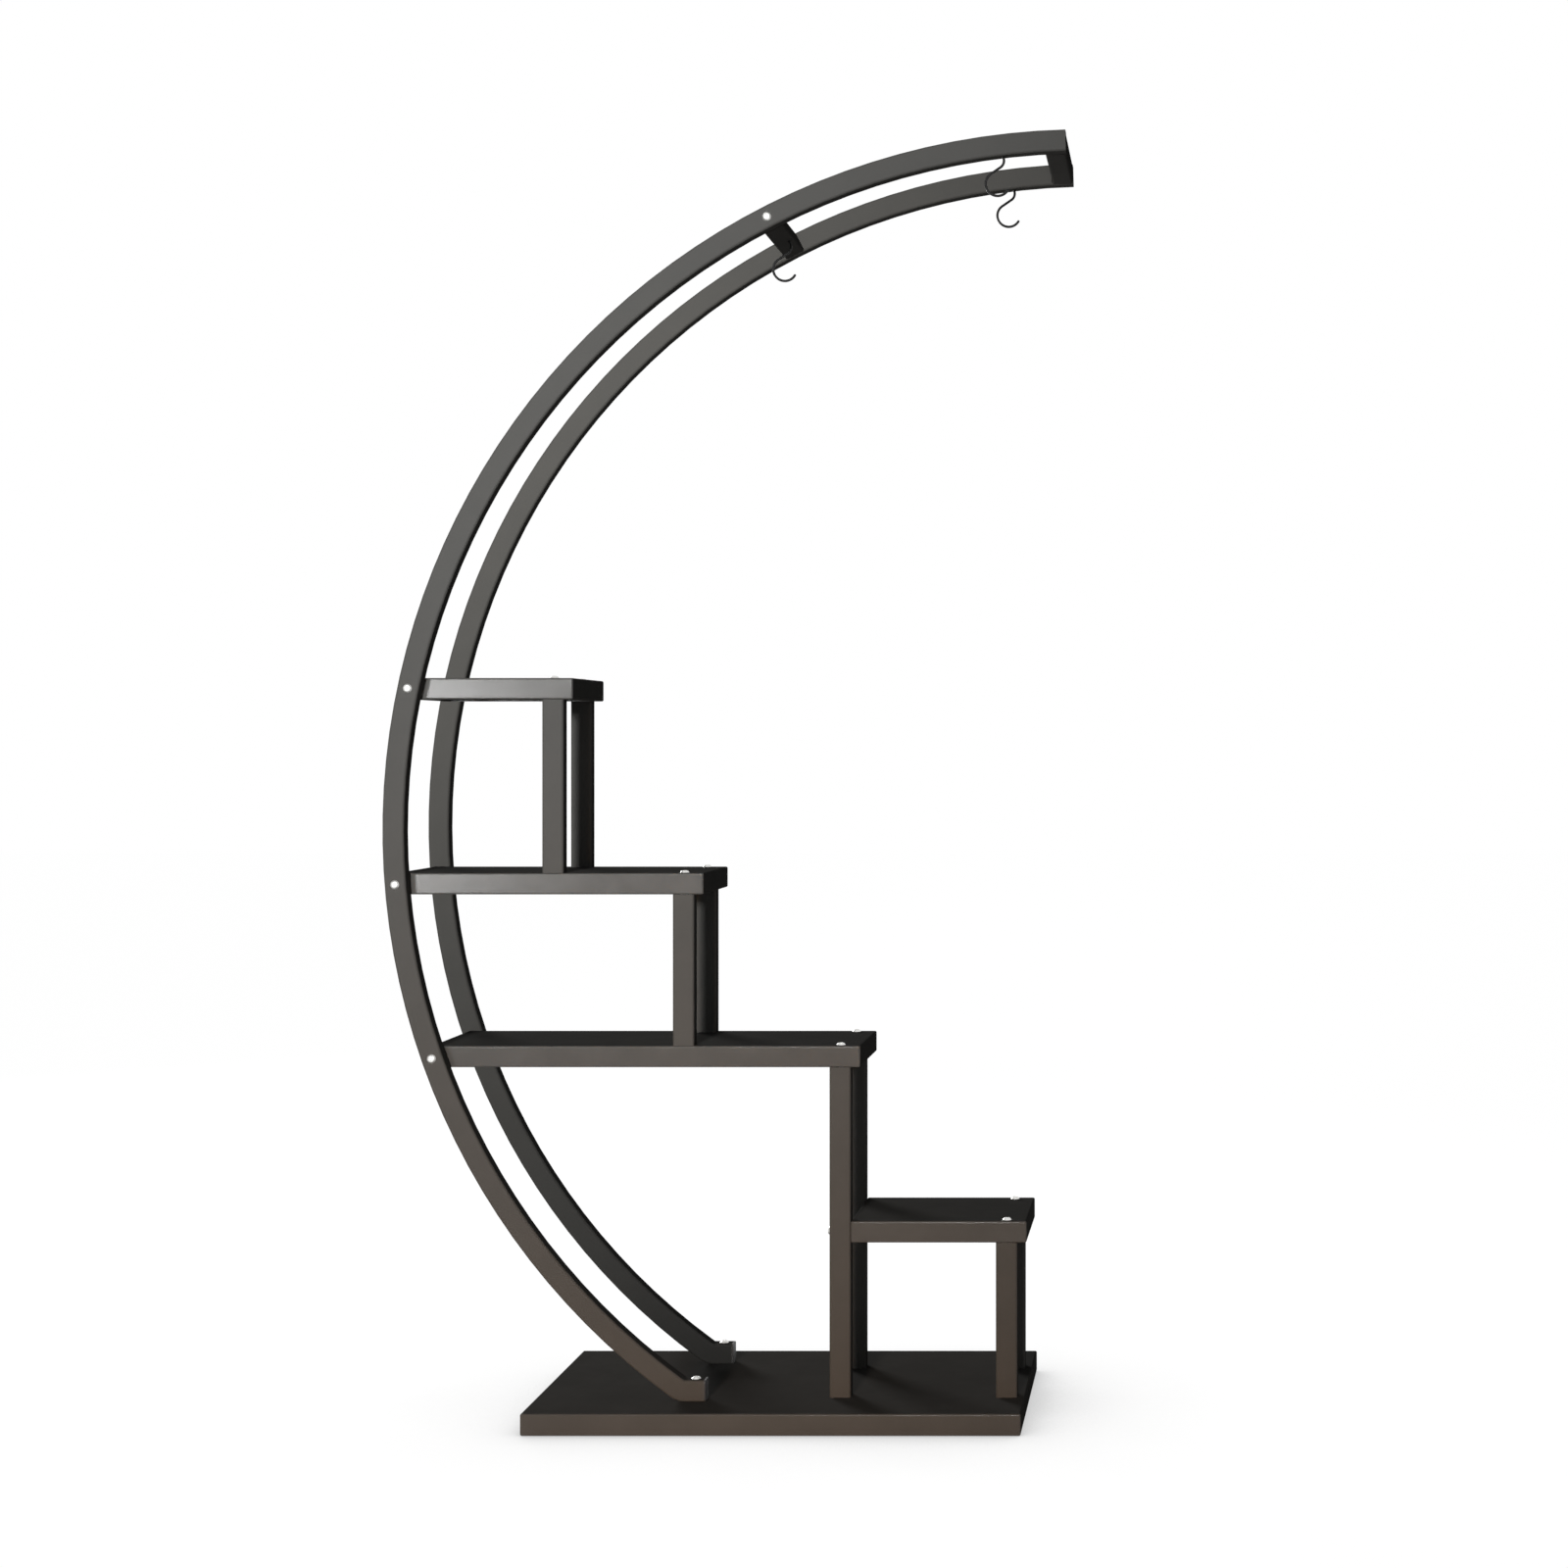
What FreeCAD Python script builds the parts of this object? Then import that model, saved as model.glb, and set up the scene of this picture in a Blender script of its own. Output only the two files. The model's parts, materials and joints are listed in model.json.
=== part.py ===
import FreeCAD, Part
import math
import os
import re

import Sketcher

# A plant stand: two arched tube rails on a base tray carry three shelf trays at the left, posts carry
# the shelves' right ends and a low shelf at the right, and wire hooks hang under the arch.
# X runs along the stand, Y from front to back and Z up. The origin is on the floor, in the middle of
# the overall length and depth.

# Driving sizes, in millimetres and degrees.
SIZES = {
    # Base tray, folded from sheet and open underneath.
    "base_length": 571,
    "base_depth": 300,
    "base_height": 25,
    "base_sheet": 1.5,
    "base_lip": 14,
    "base_margin": 9,
    # Rectangular tube of the rails, crossbars and posts.
    "tube_face": 25,
    "tube_depth": 20,
    "tube_wall": 1.5,
    "tube_corner": 3,
    # Arch of the rails, measured on the tube's middle line.
    "arc_radius": 802,
    "arc_height": 688.5,
    "tip_angle": 91.5,
    "mid_bar_step": 25.8,
    "foot_run": 23.5,
    "foot_bend": 4,
    "foot_bolt_inset": 10.5,
    "tip_plate": 2,
    "cap_flange": 2,
    "cap_depth": 6,
    "cap_edge": 0.8,
    # Shelf trays.
    "shelf_depth": 156,
    "shelf_height": 25,
    "shelf_sheet": 1.2,
    "shelf_lip": 22,
    "shelf_end_lip": 12,
    "bend_radius": 2,
    "low_shelf_level": 231,
    "wide_shelf_level": 436,
    "middle_shelf_level": 638,
    "top_shelf_level": 866,
    "low_shelf_end": 350,
    "wide_shelf_end": 155.5,
    "middle_shelf_end": -27.7,
    "top_shelf_end": -180.4,
    "shelf_overlap": 7,
    "post_inset": 11,
    # Fasteners.
    "bolt_size": 6,
    "head_size": 10.5,
    "head_height": 3,
    "head_rim": 0.8,
    "hole_play": 0.6,
    "thread_play": 0.2,
    "driver_hole": 14,
    "nut_flats": 10,
    "nut_height": 5,
    "plug_length": 8,
    "plug_play": 0.15,
    "sleeve_size": 12,
    # Wire hooks.
    "hook_wire": 3,
    "hook_upper_radius": 9.5,
    "hook_lower_radius": 14,
    "hook_drop": 27,
    "hook_lean": 2.1,
    "hook_inner_end": 135,
    "hook_outer_end": 25,
    "hook_hang": 3.2,
    "hook_step": 6,
    "hook_hole_play": 1.5,
    "mid_hook_shift": 4.5,
}

# Places and lengths worked out from the sizes.
PLACES = {
    "outer_radius": "arc_radius + tube_face / 2",
    "inner_radius": "arc_radius - tube_face / 2",
    "arc_x": "(outer_radius - inner_radius * cos(tip_angle)) / 2",
    "mid_bar_angle": "tip_angle + mid_bar_step",
    "hook_angle": "tip_angle + hook_step",
    "rail_y": "(shelf_depth + tube_depth) / 2",
    "rail_face": "shelf_depth / 2 + tube_depth",
    "post_y": "(shelf_depth - tube_depth) / 2",
    "foot_top": "base_height + tube_face",
    "foot_back": "sqrt(inner_radius ^ 2 - (arc_height - foot_top) ^ 2) - foot_run",
    "foot_end": "arc_x - foot_back",
    "foot_bolt_x": "foot_end - foot_bolt_inset",
    "low_shelf_start": "wide_shelf_end - post_inset",
    "base_end": "low_shelf_end - post_inset + base_margin",
    "base_start": "base_end - base_length",
    "bolt_hole": "(bolt_size + hole_play) / 2",
    "thread_hole": "(bolt_size + thread_play) / 2",
    "room_face": "tube_face - 2 * tube_wall",
    "room_depth": "tube_depth - 2 * tube_wall",
    "room_corner": "tube_corner - tube_wall",
    "plug_face": "room_face - 2 * plug_play",
    "plug_depth": "room_depth - 2 * plug_play",
    "hook_hole": "(hook_wire + hook_hole_play) / 2",
    "hook_hole_along": "sqrt(hook_upper_radius ^ 2 - (hook_hang + tube_wall / 2) ^ 2)",
}

# The shelves and the surface that each one's posts stand on.
RAIL_SHELVES = ("top", "middle", "wide")
POST_FLOORS = {
    "top": "middle_shelf_level",
    "middle": "wide_shelf_level",
    "wide": "base_height",
    "low": "base_height",
}
for shelf in POST_FLOORS:
    PLACES[f"{shelf}_post_x"] = f"{shelf}_shelf_end - post_inset - tube_face / 2"
    PLACES[f"{shelf}_bolt_z"] = f"{shelf}_shelf_level - shelf_height / 2"
for shelf in RAIL_SHELVES:
    PLACES[f"{shelf}_bolt_x"] = f"arc_x - sqrt(arc_radius ^ 2 - ({shelf}_bolt_z - arc_height) ^ 2)"
    PLACES[f"{shelf}_shelf_start"] = f"{shelf}_bolt_x - shelf_overlap"

# The centre of the arch in X and Z, for a thing placed in the stand and for one placed in a rail.
ARCH_CENTRE = ("arc_x", "arc_height")
RAIL_CENTRE = ("0", "0")

# Cutters run this far past the faces that they cut through.
OVERCUT = 5

# Points closer than this count as one.
TOUCH = 0.01

X_AXIS = FreeCAD.Vector(1, 0, 0)
Y_AXIS = FreeCAD.Vector(0, 1, 0)
Z_AXIS = FreeCAD.Vector(0, 0, 1)

# Turns of a thing whose own axis is Z, named by where that axis then points.
TO_TOP = FreeCAD.Rotation()
TO_FLOOR = FreeCAD.Rotation(X_AXIS, 180)
TO_FRONT = FreeCAD.Rotation(X_AXIS, 90)
TO_REAR = FreeCAD.Rotation(X_AXIS, -90)
TO_LEFT = FreeCAD.Rotation(Y_AXIS, -90)
TO_RIGHT = FreeCAD.Rotation(Y_AXIS, 90)

# The turn of a hexagon about Z that brings two of its flats square to X.
FLATS_TO_SIDES = FreeCAD.Rotation(Z_AXIS, 30)

# The sign of Y on each side of the stand, and the way a bolt head faces there.
SIDES = {"front": "-1", "rear": "1"}
HEAD_TURNS = {"front": TO_FRONT, "rear": TO_REAR}

doc = FreeCAD.newDocument("plant_stand")
subparts = []


def make_sheet():
    sheet = doc.addObject("Spreadsheet::Sheet", "Sizes")
    for row, (name, size) in enumerate(SIZES.items(), start=1):
        sheet.set(f"A{row}", name)
        sheet.set(f"B{row}", str(size))
        sheet.setAlias(f"B{row}", name)
    doc.recompute()


def formula(text):
    """Write a formula of sizes and places as an expression on the sheet's cells."""

    def cell(match):
        word = match.group()
        if word in PLACES:
            return f"({formula(PLACES[word])})"
        return f"Sizes.{word}" if word in SIZES else word

    return re.sub(r"[a-z_]+", cell, text)


def bind(thing, **formulas):
    for name, text in formulas.items():
        thing.setExpression(name, formula(text))


def place(thing, x="0", y="0", z="0", turn=TO_TOP):
    thing.Placement = FreeCAD.Placement(FreeCAD.Vector(), turn)
    bind(thing, **{"Placement.Base.x": x, "Placement.Base.y": y, "Placement.Base.z": z})


def place_on_arch(thing, angle, radius="arc_radius", along="0", y="0", centre=ARCH_CENTRE, turn=None):
    """Put a thing on the arch, at an angle and radius and then some way along it to the right.

    Without a turn of its own, its Z points away from the arch's centre and its X along the arch."""
    x = f"{centre[0]} + ({radius}) * cos({angle}) + ({along}) * sin({angle})"
    z = f"{centre[1]} + ({radius}) * sin({angle}) - ({along}) * cos({angle})"
    if turn is not None:
        place(thing, x, y, z, turn)
        return
    place(thing, x, y, z, FreeCAD.Rotation(-Y_AXIS, 1))
    bind(thing, **{"Placement.Rotation.Angle": f"{angle} - 90"})


def new_body(name, is_subpart=True):
    body = doc.addObject("PartDesign::Body", name)
    body.Label = name
    if is_subpart:
        subparts.append(body)
    return body


def add_shape(body, kind, name, **sizes):
    """Add to a body, or cut from it, a primitive such as AdditiveBox or SubtractiveCylinder."""
    feature = body.newObject(f"PartDesign::{kind}", f"{body.Name}_{name}")
    bind(feature, **sizes)
    return feature


def block(body, kind, name, low, size):
    """A box from its low corner and its size, each a formula for X, Y and Z."""
    feature = add_shape(body, kind, name, Length=size[0], Width=size[1], Height=size[2])
    place(feature, *low)


def drill(body, name, radius, length, x="0", y="0", z="0", turn=TO_TOP):
    """A round hole that starts at a point and runs a length along its turned axis."""
    feature = add_shape(body, "SubtractiveCylinder", name, Radius=radius, Height=length)
    place(feature, x, y, z, turn)
    return feature


def round_edges(body, radius, chosen):
    """Round those edges of the body's last shape for which chosen says yes."""
    doc.recompute()
    base = body.Tip
    edges = [f"Edge{number}" for number, edge in enumerate(base.Shape.Edges, start=1) if chosen(edge)]
    fillet = body.newObject("PartDesign::Fillet", f"{body.Name}_rounding")
    fillet.Base = (base, edges)
    bind(fillet, Radius=radius)


def size_of(text):
    """The present value of a formula of sizes and places."""
    return doc.getObject("Sizes").evalExpression(formula(text))


def runs_along(axis, within=None):
    """A test for edges that run straight along an axis of their body.

    Where within is given, an edge must also lie inside a centred box of that size."""
    limits = [size_of(length) / 2 + TOUCH for length in within or ()]

    def chosen(edge):
        ends = [vertex.Point for vertex in edge.Vertexes]
        step = ends[-1] - ends[0]
        if step.cross(axis).Length > TOUCH:
            return False
        middle = (ends[0] + ends[-1]) / 2
        return all(abs(place) < limit for place, limit in zip(middle, limits))

    return chosen


def lies_at(x):
    """A test for edges in a plane square to their body's X."""
    plane = size_of(x)

    def chosen(edge):
        return all(abs(vertex.Point.x - plane) < TOUCH for vertex in edge.Vertexes)

    return chosen


def every_edge(edge):
    return True


def side_sketch(body, name):
    """A sketch in the body's XZ plane, which is the stand's front view."""
    sketch = body.newObject("Sketcher::SketchObject", f"{body.Name}_{name}")
    plane = next(item for item in body.Origin.OriginFeatures if item.Role == "XZ_Plane")
    sketch.AttachmentSupport = (plane, "")
    sketch.MapMode = "FlatFace"
    return sketch


def drawn_size(sketch, kind, where):
    """The size, as drawn so far, of what a constraint is about to hold."""
    drawn = sketch.Geometry[where[0]]
    if kind == "Radius":
        return drawn.Radius
    if kind == "Angle":
        step = drawn.EndPoint - drawn.StartPoint
        return math.atan2(step.y, step.x)
    step = sketch.getPoint(*where[2:]) - sketch.getPoint(*where[:2])
    return step.x if kind == "DistanceX" else step.y


def hold(sketch, kind, *where, size=None):
    """Constrain a sketch and, where the constraint has a size, bind that size."""
    if size is None:
        sketch.addConstraint(Sketcher.Constraint(kind, *where))
        return
    drawn = drawn_size(sketch, kind, where)
    index = sketch.addConstraint(Sketcher.Constraint(kind, *where, drawn))
    sketch.setExpression(f"Constraints[{index}]", formula(size))


# The numbers of a sketched line's or arc's points, and the sketch's own origin and axes.
START, END, CENTRE = range(1, 4)
ORIGIN = (-1, 1)
LEVEL_AXIS, UPRIGHT_AXIS = range(-1, -3, -1)


def draw_arc(sketch, centre, radius, first, last):
    """Draw an arc that runs anticlockwise from one angle to another, in radians."""
    circle = Part.Circle(FreeCAD.Vector(*centre), Z_AXIS, radius)
    return sketch.addGeometry(Part.ArcOfCircle(circle, first, last))


def draw_line(sketch, first, last, construction=False):
    line = Part.LineSegment(sketch.getPoint(*first), sketch.getPoint(*last))
    return sketch.addGeometry(line, construction)


def draw_path(sketch, points):
    """Draw lines through points, and give their numbers."""
    corners = [FreeCAD.Vector(*point) for point in points]
    return [sketch.addGeometry(Part.LineSegment(a, b)) for a, b in zip(corners, corners[1:])]


def tray(name, start, end, depth, level, height, sheet, lip, end_lip):
    """A folded tray, open underneath, whose own origin is at the left end of its top surface."""
    body = new_body(name)
    place(body, x=start, z=level)
    length = f"{end} - ({start})"
    block(
        body,
        "AdditiveBox",
        "outside",
        low=("0", f"-{depth} / 2", f"-{height}"),
        size=(length, depth, height),
    )
    round_edges(body, "bend_radius", every_edge)
    block(
        body,
        "SubtractiveBox",
        "inside",
        low=(sheet, f"{sheet} - {depth} / 2", f"{sheet} - {height}"),
        size=(f"{length} - 2 * {sheet}", f"{depth} - 2 * {sheet}", f"{height} - 2 * {sheet}"),
    )
    block(
        body,
        "SubtractiveBox",
        "mouth",
        low=(end_lip, f"{lip} - {depth} / 2", f"-{height} - {OVERCUT}"),
        size=(f"{length} - 2 * {end_lip}", f"{depth} - 2 * {lip}", f"{sheet} + 2 * {OVERCUT}"),
    )
    return body


def drill_tray_top(body, name, start, x, y, sheet):
    """A bolt hole in a tray's top surface, at a place of the stand."""
    below = f"-{sheet} - {OVERCUT}"
    drill(body, name, "bolt_hole", f"{sheet} + 2 * {OVERCUT}", f"{x} - ({start})", y, below)


def make_base():
    base = tray(
        "base_tray",
        "base_start",
        "base_end",
        "base_depth",
        "base_height",
        "base_height",
        "base_sheet",
        "base_lip",
        "base_lip",
    )
    for side, sign in SIDES.items():
        for name, x, y in (
            ("foot_hole", "foot_bolt_x", "rail_y"),
            ("wide_post_hole", "wide_post_x", "post_y"),
            ("low_post_hole", "low_post_x", "post_y"),
        ):
            drill_tray_top(base, f"{side}_{name}", "base_start", x, f"{sign} * {y}", "base_sheet")


def make_shelf(shelf):
    """A shelf tray with holes for its own posts, for the posts on it and for what holds its left end."""
    start = f"{shelf}_shelf_start"
    body = tray(
        f"{shelf}_shelf",
        start,
        f"{shelf}_shelf_end",
        "shelf_depth",
        f"{shelf}_shelf_level",
        "shelf_height",
        "shelf_sheet",
        "shelf_lip",
        "shelf_end_lip",
    )
    middle = "-shelf_height / 2"
    through = f"shelf_height + 2 * {OVERCUT}"
    skin = f"shelf_sheet + 2 * {OVERCUT}"
    bottom = f"-shelf_height - {OVERCUT}"
    standing = [upper for upper, floor in POST_FLOORS.items() if floor == f"{shelf}_shelf_level"]
    for side, sign in SIDES.items():
        y = f"{sign} * post_y"
        drill(body, f"{side}_post_hole", "bolt_hole", through, f"{shelf}_post_x - ({start})", y, bottom)
        for upper in standing:
            x = f"{upper}_post_x - ({start})"
            drill_tray_top(body, f"{side}_foot_hole", start, f"{upper}_post_x", y, "shelf_sheet")
            drill(body, f"{side}_driver_hole", "driver_hole / 2", skin, x, y, bottom)
        if shelf in RAIL_SHELVES:
            wall_y = f"{sign} * (shelf_depth - shelf_sheet) / 2 - shelf_sheet / 2 - {OVERCUT}"
            drill(body, f"{side}_rail_hole", "bolt_hole", skin, "shelf_overlap", wall_y, middle, TO_REAR)
        else:
            drill(body, f"{side}_end_hole", "bolt_hole", skin, f"-{OVERCUT}", y, middle, TO_RIGHT)


def rail_outline(body, name, inset, tip, foot_reach):
    """Front view of a rail about its arch's centre: the arch, a square-cut tip and a short level foot.

    The outline lies inside the tube's faces by inset, ends at the angle tip and has its foot's end
    foot_reach left of the centre. A tight bend joins the arch and the foot."""
    sketch = side_sketch(body, name)
    outer = SIZES["arc_radius"] + SIZES["tube_face"] / 2
    inner = SIZES["arc_radius"] - SIZES["tube_face"] / 2
    floor = SIZES["base_height"] - SIZES["arc_height"]
    step = floor + SIZES["tube_face"]
    bend_z = step + SIZES["foot_bend"]
    bend_x = -math.sqrt((inner - SIZES["foot_bend"]) ** 2 - bend_z ** 2)
    first = math.radians(SIZES["tip_angle"])
    last = math.pi + math.atan(bend_z / bend_x)
    down = 1.5 * math.pi
    outer_arc = draw_arc(sketch, (0, 0), outer, first, last)
    inner_arc = draw_arc(sketch, (0, 0), inner, first, last)
    outer_bend = draw_arc(sketch, (bend_x, bend_z), bend_z - floor, last, down)
    inner_bend = draw_arc(sketch, (bend_x, bend_z), bend_z - step, last, down)
    foot_x = bend_x + SIZES["foot_run"]
    sole, end, instep = draw_path(
        sketch,
        [(bend_x, floor), (foot_x, floor), (foot_x, step), (bend_x, step)],
    )
    tip_cut = draw_line(sketch, (inner_arc, START), (outer_arc, START))

    hold(sketch, "Coincident", outer_arc, CENTRE, *ORIGIN)
    hold(sketch, "Coincident", inner_arc, CENTRE, *ORIGIN)
    hold(sketch, "Tangent", outer_arc, END, outer_bend, START)
    hold(sketch, "Tangent", outer_bend, END, sole, START)
    hold(sketch, "Coincident", sole, END, end, START)
    hold(sketch, "Coincident", end, END, instep, START)
    hold(sketch, "Tangent", instep, END, inner_bend, END)
    hold(sketch, "Tangent", inner_bend, START, inner_arc, END)
    hold(sketch, "Coincident", inner_arc, START, tip_cut, START)
    hold(sketch, "Coincident", tip_cut, END, outer_arc, START)
    hold(sketch, "Horizontal", sole)
    hold(sketch, "Horizontal", instep)
    hold(sketch, "Vertical", end)
    hold(sketch, "PointOnObject", *ORIGIN, tip_cut)
    hold(sketch, "Radius", outer_arc, size=f"outer_radius - {inset}")
    hold(sketch, "Radius", inner_arc, size=f"inner_radius + {inset}")
    hold(sketch, "Radius", outer_bend, size=f"foot_bend + tube_face - {inset}")
    hold(sketch, "Radius", inner_bend, size=f"foot_bend + {inset}")
    hold(sketch, "DistanceY", sole, END, *ORIGIN, size=f"arc_height - base_height - {inset}")
    hold(sketch, "DistanceY", end, START, end, END, size=f"tube_face - 2 * {inset}")
    hold(sketch, "DistanceX", end, END, *ORIGIN, size=foot_reach)
    hold(sketch, "Angle", tip_cut, size=tip)
    return sketch


def rail_corners(depth):
    """A test for the long edges of a rail on its two side faces, or its bore's, which are depth apart."""
    half = size_of(depth) / 2

    def chosen(edge):
        step = edge.Vertexes[-1].Point - edge.Vertexes[0].Point
        on_sides = all(abs(abs(vertex.Point.y) - half) < TOUCH for vertex in edge.Vertexes)
        is_arc = edge.Curve.TypeId == "Part::GeomCircle"
        return on_sides and abs(step.y) < TOUCH and (is_arc or abs(step.z) < TOUCH)

    return chosen


def make_rail(side, sign):
    """A hollow rail, whose own origin is at the centre of its arch, with its bolt and hook holes."""
    body = new_body(f"{side}_rail")
    place(body, x="arc_x", y=f"{sign} * rail_y", z="arc_height")
    outside = body.newObject("PartDesign::Pad", f"{side}_rail_outside")
    outside.Profile = rail_outline(body, "outline", "0", "tip_angle", "foot_back")
    outside.SideType = "Symmetric"
    bind(outside, Length="tube_depth")
    round_edges(body, "tube_corner", rail_corners("tube_depth"))
    inside = body.newObject("PartDesign::Pocket", f"{side}_rail_inside")
    past_tip = f"tip_angle - {OVERCUT} / arc_radius * 180 / pi"
    inside.Profile = rail_outline(body, "bore", "tube_wall", past_tip, f"foot_back - {OVERCUT}")
    inside.SideType = "Symmetric"
    bind(inside, Length="room_depth")
    round_edges(body, "room_corner", rail_corners("room_depth"))

    across = f"tube_depth + 2 * {OVERCUT}"
    near_y = f"-tube_depth / 2 - {OVERCUT}"
    for shelf in RAIL_SHELVES:
        x = f"{shelf}_bolt_x - arc_x"
        z = f"{shelf}_bolt_z - arc_height"
        drill(body, f"{shelf}_bolt_hole", "bolt_hole", across, x, near_y, z, TO_REAR)
    bar_hole = drill(body, "mid_bar_hole", "bolt_hole", across)
    place_on_arch(bar_hole, "mid_bar_angle", y=near_y, centre=RAIL_CENTRE, turn=TO_REAR)
    foot_floor = f"base_height - arc_height - {OVERCUT}"
    foot_x = "-foot_back - foot_bolt_inset"
    drill(body, "foot_hole", "bolt_hole", f"tube_face + 2 * {OVERCUT}", foot_x, "0", foot_floor)
    hook_hole = drill(body, "hook_hole", "hook_hole", f"tube_wall + 2 * {OVERCUT}")
    below = f"inner_radius - {OVERCUT}"
    place_on_arch(hook_hole, "hook_angle", below, along="hook_hole_along", centre=RAIL_CENTRE)


def make_crossbar(name, angle, along):
    """A square tube between the rails, whose own origin is at its middle."""
    body = new_body(name)
    place_on_arch(body, angle, along=along)
    low = ("-tube_face / 2", "-shelf_depth / 2", "-tube_face / 2")
    block(body, "AdditiveBox", "outside", low, ("tube_face", "shelf_depth", "tube_face"))
    round_edges(body, "tube_corner", runs_along(Y_AXIS))
    low = ("-room_face / 2", f"-shelf_depth / 2 - {OVERCUT}", "-room_face / 2")
    block(body, "SubtractiveBox", "inside", low, ("room_face", f"shelf_depth + 2 * {OVERCUT}", "room_face"))
    round_edges(body, "room_corner", runs_along(Y_AXIS, ("room_face", "shelf_depth", "room_face")))
    return body


def make_crossbars():
    make_crossbar("tip_crossbar", "tip_angle", "-tube_face / 2")
    mid_bar = make_crossbar("mid_crossbar", "mid_bar_angle", "0")
    hole_x = "hook_hole_along - mid_hook_shift"
    below = f"-tube_face / 2 - {OVERCUT}"
    drill(mid_bar, "hook_hole", "hook_hole", f"tube_wall + 2 * {OVERCUT}", hole_x, "0", below)


def make_post(shelf, floor, side, sign):
    """A tube post under a shelf's right end, whose own origin is at the middle of its foot."""
    body = new_body(f"{shelf}_shelf_{side}_post")
    place(body, f"{shelf}_post_x", f"{sign} * post_y", floor)
    length = f"{shelf}_shelf_level - shelf_height - {floor}"
    low = ("-tube_face / 2", "-tube_depth / 2", "0")
    block(body, "AdditiveBox", "outside", low, ("tube_face", "tube_depth", length))
    round_edges(body, "tube_corner", runs_along(Z_AXIS))
    low = ("-room_face / 2", "-room_depth / 2", f"-{OVERCUT}")
    block(body, "SubtractiveBox", "inside", low, ("room_face", "room_depth", f"{length} + 2 * {OVERCUT}"))
    round_edges(body, "room_corner", runs_along(Z_AXIS, ("room_face", "room_depth")))
    if shelf == "wide":
        through = f"tube_face + 2 * {OVERCUT}"
        left = f"-tube_face / 2 - {OVERCUT}"
        drill(body, "low_shelf_hole", "bolt_hole", through, left, "0", f"low_bolt_z - {floor}", TO_RIGHT)


def group(name, pattern, places):
    """One sub-part of equal pieces: a copy of the pattern at each place."""
    copies = []
    for number, spot in enumerate(places, start=1):
        copy = doc.addObject("App::Link", f"{name}_{number}")
        copy.LinkedObject = pattern
        put = place_on_arch if "angle" in spot else place
        put(copy, **spot)
        copies.append(copy)
    node = doc.addObject("Part::Compound", name)
    node.Label = name
    node.Links = copies
    subparts.append(node)


def on_both_sides(y, **spot):
    """The same place at the front and at the rear."""
    return [dict(spot, y=f"{sign} * ({y})") for sign in SIDES.values()]


def bolt_pattern(name, shank):
    """A domed bolt whose own origin is where its head seats, with its shank below."""
    body = new_body(f"{name}_pattern", is_subpart=False)
    sketch = side_sketch(body, "profile")
    head_radius = SIZES["head_size"] / 2
    shank_radius = SIZES["bolt_size"] / 2
    rim = SIZES["head_rim"]
    crown = SIZES["head_height"]
    shank_end = -2 * crown
    bow = (head_radius**2 + (crown - rim) ** 2) / (2 * (crown - rim))
    lift = crown - bow
    dome = draw_arc(sketch, (0, lift), bow, math.asin((rim - lift) / bow), math.pi / 2)
    edge, seat, side, tail, axis = draw_path(
        sketch,
        [
            (head_radius, rim),
            (head_radius, 0),
            (shank_radius, 0),
            (shank_radius, shank_end),
            (0, shank_end),
            (0, crown),
        ],
    )
    hold(sketch, "Coincident", dome, START, edge, START)
    hold(sketch, "Coincident", edge, END, seat, START)
    hold(sketch, "Coincident", seat, END, side, START)
    hold(sketch, "Coincident", side, END, tail, START)
    hold(sketch, "Coincident", tail, END, axis, START)
    hold(sketch, "Coincident", axis, END, dome, END)
    hold(sketch, "Vertical", edge)
    hold(sketch, "Horizontal", seat)
    hold(sketch, "Vertical", side)
    hold(sketch, "Horizontal", tail)
    hold(sketch, "PointOnObject", dome, CENTRE, UPRIGHT_AXIS)
    hold(sketch, "PointOnObject", dome, END, UPRIGHT_AXIS)
    hold(sketch, "PointOnObject", tail, END, UPRIGHT_AXIS)
    hold(sketch, "PointOnObject", seat, START, LEVEL_AXIS)
    hold(sketch, "DistanceX", *ORIGIN, seat, START, size="head_size / 2")
    hold(sketch, "DistanceX", *ORIGIN, seat, END, size="bolt_size / 2")
    hold(sketch, "DistanceY", *ORIGIN, dome, END, size="head_height")
    hold(sketch, "DistanceY", edge, END, edge, START, size="head_rim")
    hold(sketch, "DistanceY", side, END, *ORIGIN, size=shank)
    turned = body.newObject("PartDesign::Revolution", f"{name}_turned")
    turned.Profile = sketch
    turned.ReferenceAxis = (sketch, ["V_Axis"])
    turned.Angle = 360
    return body


def nut_pattern():
    """A hexagon weld nut that stands on its own origin."""
    body = new_body("nut_pattern", is_subpart=False)
    corner = "nut_flats / sqrt(3)"
    prism = add_shape(body, "AdditivePrism", "hexagon", Circumradius=corner, Height="nut_height")
    prism.Polygon = 6
    place(prism, turn=FLATS_TO_SIDES)
    drill(body, "thread", "thread_hole", f"nut_height + 2 * {OVERCUT}", z=f"-{OVERCUT}")
    return body


def post_plug_pattern():
    """A threaded plug for a post's end that stands on its own origin."""
    body = new_body("post_plug_pattern", is_subpart=False)
    low = ("-plug_face / 2", "-plug_depth / 2", "0")
    block(body, "AdditiveBox", "plate", low, ("plug_face", "plug_depth", "plug_length"))
    round_edges(body, "room_corner", runs_along(Z_AXIS))
    drill(body, "thread", "thread_hole", f"plug_length + 2 * {OVERCUT}", z=f"-{OVERCUT}")
    return body


def sleeve_pattern():
    """A spacer sleeve that stands on its own origin."""
    body = new_body("sleeve_pattern", is_subpart=False)
    height = "shelf_height - 2 * shelf_sheet"
    add_shape(body, "AdditiveCylinder", "wall", Radius="sleeve_size / 2", Height=height)
    drill(body, "bore", "bolt_hole", f"shelf_height + 2 * {OVERCUT}", z=f"-{OVERCUT}")
    return body


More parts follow.
